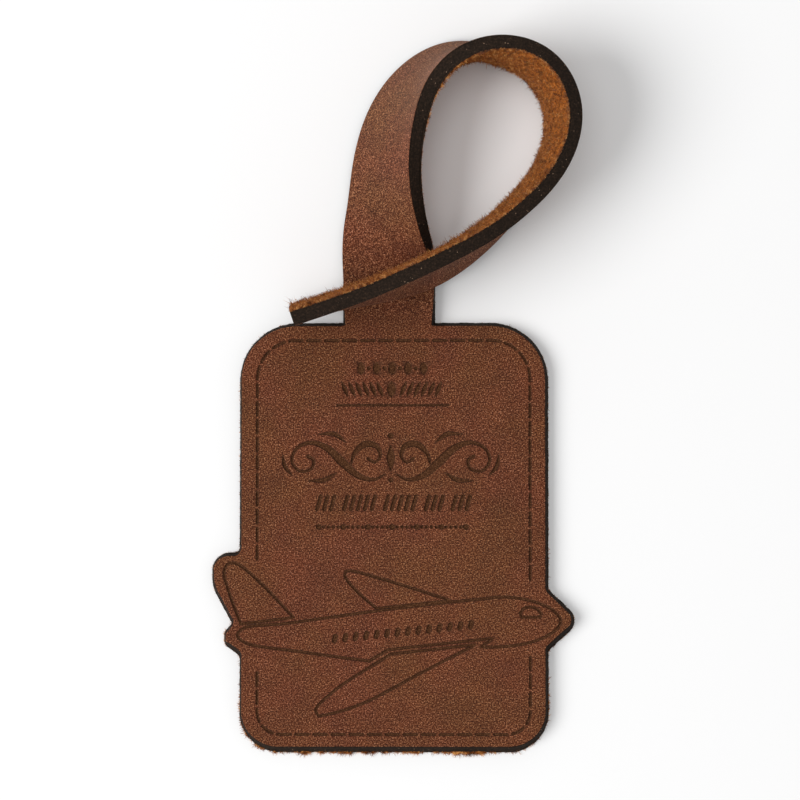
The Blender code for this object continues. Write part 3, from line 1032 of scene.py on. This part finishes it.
def strap_nap():
    for k in range(LINKS):
        rng = np.random.default_rng(100 + k)
        start, end = cut_at[k], cut_at[k + 1]
        span = end - start
        inner = int(span * STRAP_WIDTH * FIBRES_PER_AREA)
        edge = int(span * 2 * FIBRES_PER_EDGE)
        count = inner + edge
        s = rng.uniform(start + 0.1, end - 0.1, count)
        u = rng.uniform(-HALF + 0.3, HALF - 0.3, count)
        sign = np.where(rng.random(edge) < 0.5, -1, 1)
        u[inner:] = sign * (HALF - rng.uniform(0.0, 0.55, edge))
        height = np.full(count, SUEDE_RIM[0][1] + 0.06 - THICKNESS / 2)
        root = route.place(s, u, height)
        down = -route.normal(s, u)
        across = route.read(route.across, s)
        along = unit_rows(np.cross(down, across))
        # Neighbours lean the same way, so that the nap lies in tufts
        tuft = np.stack([value_noise(root, 1.6, 300), value_noise(root, 1.6, 301),
                         value_noise(root, 2.4, 302)], axis=1)
        length = rng.uniform(0.45, 1.15, count) * (1 + 0.6 * tuft[:, 2])
        length[inner:] = rng.uniform(0.5, 1.2, edge) * (1 + 0.7 * tuft[inner:, 2])
        length += 0.8 * (rng.random(count) < 0.05)
        length[inner:] *= 1 + 0.7 * np.clip((s[inner:] - WISPS_FROM) / 30, 0, 1)
        over_root = (sign < 0) & (s[inner:] > OVER_ROOT[0]) & (s[inner:] < OVER_ROOT[1])
        length[inner:][over_root] *= WORN
        length *= 0.3 + 0.7 * np.clip((s - NAP_CALM) / 25, 0, 1)
        lean_across = 1.4 * tuft[:, 0] + rng.normal(0, 0.45, count)
        lean_across[inner:] += sign * 0.5
        lean_along = 1.4 * tuft[:, 1] + rng.normal(0, 0.45, count)
        run = down + across * lean_across[:, None] + along * lean_along[:, None]
        run = unit_rows(run) * length[:, None]
        sag = rng.normal(0, 0.12, (count, 3)) * length[:, None]
        radius = rng.uniform(0.035, 0.075, count)
        piece = fibre_mesh(f"strap_nap_{k + 1:02d}", root, root + run, sag, radius)
        bend_across(piece)


FRINGE_FIBRES = 5600
BACK_FIBRES = 9000


def body_nap():
    """Fibres round the back's edge, thickest along the bottom, and all over the back."""
    rng = np.random.default_rng(77)
    count = FRINGE_FIBRES
    low_edge = np.clip((-OUTLINE[:, 1] - 30) / 22, 0, 1)
    clump = np.clip(wander(OUTLINE, 2.2, 15) + 0.35, 0, 1) ** 2
    weight = 0.12 + 3.0 * low_edge ** 2 * clump
    weight[OUTLINE[:, 1] > TOP_EDGE - 0.1] *= 0.2
    index = rng.choice(len(OUTLINE), count, p=weight / weight.sum())
    step = rng.random(count)[:, None]
    at = OUTLINE[index] * (1 - step) + OUTLINE[(index + 1) % len(OUTLINE)] * step
    inward = unit_rows(INWARD[index] + 1e-9)
    aside = np.stack([-inward[:, 1], inward[:, 0]], axis=1)
    root = np.column_stack([at + inward * rng.uniform(0.05, 0.5, count)[:, None],
                            rng.uniform(0.10, 0.55, count)])
    lean = rng.normal(0, 0.9, count)[:, None]
    flat = unit_rows(-inward + aside * lean)
    length = rng.uniform(0.25, 0.75, count) + 0.6 * (rng.random(count) < 0.08)
    length *= 0.6 + (0.5 + 0.5 * clump[index]) * low_edge[index]
    run = np.column_stack([flat, rng.uniform(-0.3, 0.35, count)])
    run = unit_rows(run) * length[:, None]
    sag = rng.normal(0, 0.14, (count, 3)) * length[:, None]
    fringe = fibre_mesh("tag_fringe", root, root + run, sag, rng.uniform(0.04, 0.09, count))
    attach(fringe, "tag")

    low, high = OUTLINE.min(axis=0), OUTLINE.max(axis=0)
    at = rng.uniform(low, high, (BACK_FIBRES, 2))
    at = at[inside_polygon(at, OUTLINE + INWARD * 0.6)]
    count = len(at)
    root = np.column_stack([at, np.full(count, 0.16)])
    turn = rng.uniform(0, 2 * math.pi, count)
    run = np.column_stack([np.cos(turn), np.sin(turn), rng.uniform(-0.35, -0.1, count)])
    run = unit_rows(run) * rng.uniform(0.3, 0.8, count)[:, None]
    sag = rng.normal(0, 0.03, (count, 3))
    nap = fibre_mesh("tag_nap", root, root + run, sag, rng.uniform(0.025, 0.045, count))
    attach(nap, "tag")


# ---- studio

def area_light(name, location, target, size, power):
    light = bpy.data.lights.new(name, "AREA")
    light.shape = "DISK"
    light.size = size
    light.energy = power
    lamp = new_object(name, light)
    lamp.location = location
    lamp.rotation_mode = "QUATERNION"
    lamp.rotation_quaternion = (Vector(target) - lamp.location).to_track_quat("-Z", "Y")


def make_studio():
    bpy.context.scene.view_settings.view_transform = "Standard"
    world = bpy.data.worlds.new("studio")
    bpy.context.scene.world = world
    world.use_nodes = True
    background = world.node_tree.nodes["Background"].inputs
    background["Color"].default_value = (1.0, 1.0, 1.0, 1.0)
    background["Strength"].default_value = 0.42
    aim = (0, 0.02, 0)
    area_light("key", (-1.5, -0.32, 1.40), aim, 1.4, 32.5)
    area_light("top", (0.1, 0.1, 2.0), aim, 1.6, 8.5)

    floor_mesh = bpy.data.meshes.new("floor")
    far = 3.0
    corners = [(-far, -far, 0), (far, -far, 0), (far, far, 0), (-far, far, 0)]
    floor_mesh.from_pydata(corners, [], [(0, 1, 2, 3)])
    paper = Shader("white_paper", Base_Color=(0.945, 0.945, 0.945, 1.0), Roughness=0.9)
    floor_mesh.materials.append(paper.material)
    new_object("floor", floor_mesh)


def make_camera():
    """From above, slightly right and low, with the strap at the top of the frame."""
    place = Vector((0.02507, -0.00504, 0.900))
    target = Vector((0.0015, 0.03425, 0.0))
    forward = (target - place).normalized()
    right = forward.cross(Vector((0, 1, 0))).normalized()
    up = right.cross(forward)
    camera = bpy.data.cameras.new("camera")
    camera.sensor_width = 36.0
    seen = 0.200  # width of the view at the target
    camera.lens = camera.sensor_width * (target - place).length / seen
    camera.clip_start, camera.clip_end = 0.05, 20.0
    holder = new_object("camera", camera)
    turn = Matrix((right, up, -forward)).transposed().to_4x4()
    holder.matrix_world = Matrix.Translation(place) @ turn
    bpy.context.scene.camera = holder


make_camera()
make_studio()
skin, edge, suede = make_body()
for piece, node, slot in ((skin, "tag_face", "nubuck_face"), (edge, "tag_core", "burnt_core"),
                          (suede, "tag_back", "suede_back")):
    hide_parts(node)
    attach(piece, "tag")
make_strap()
strap_nap()
body_nap()
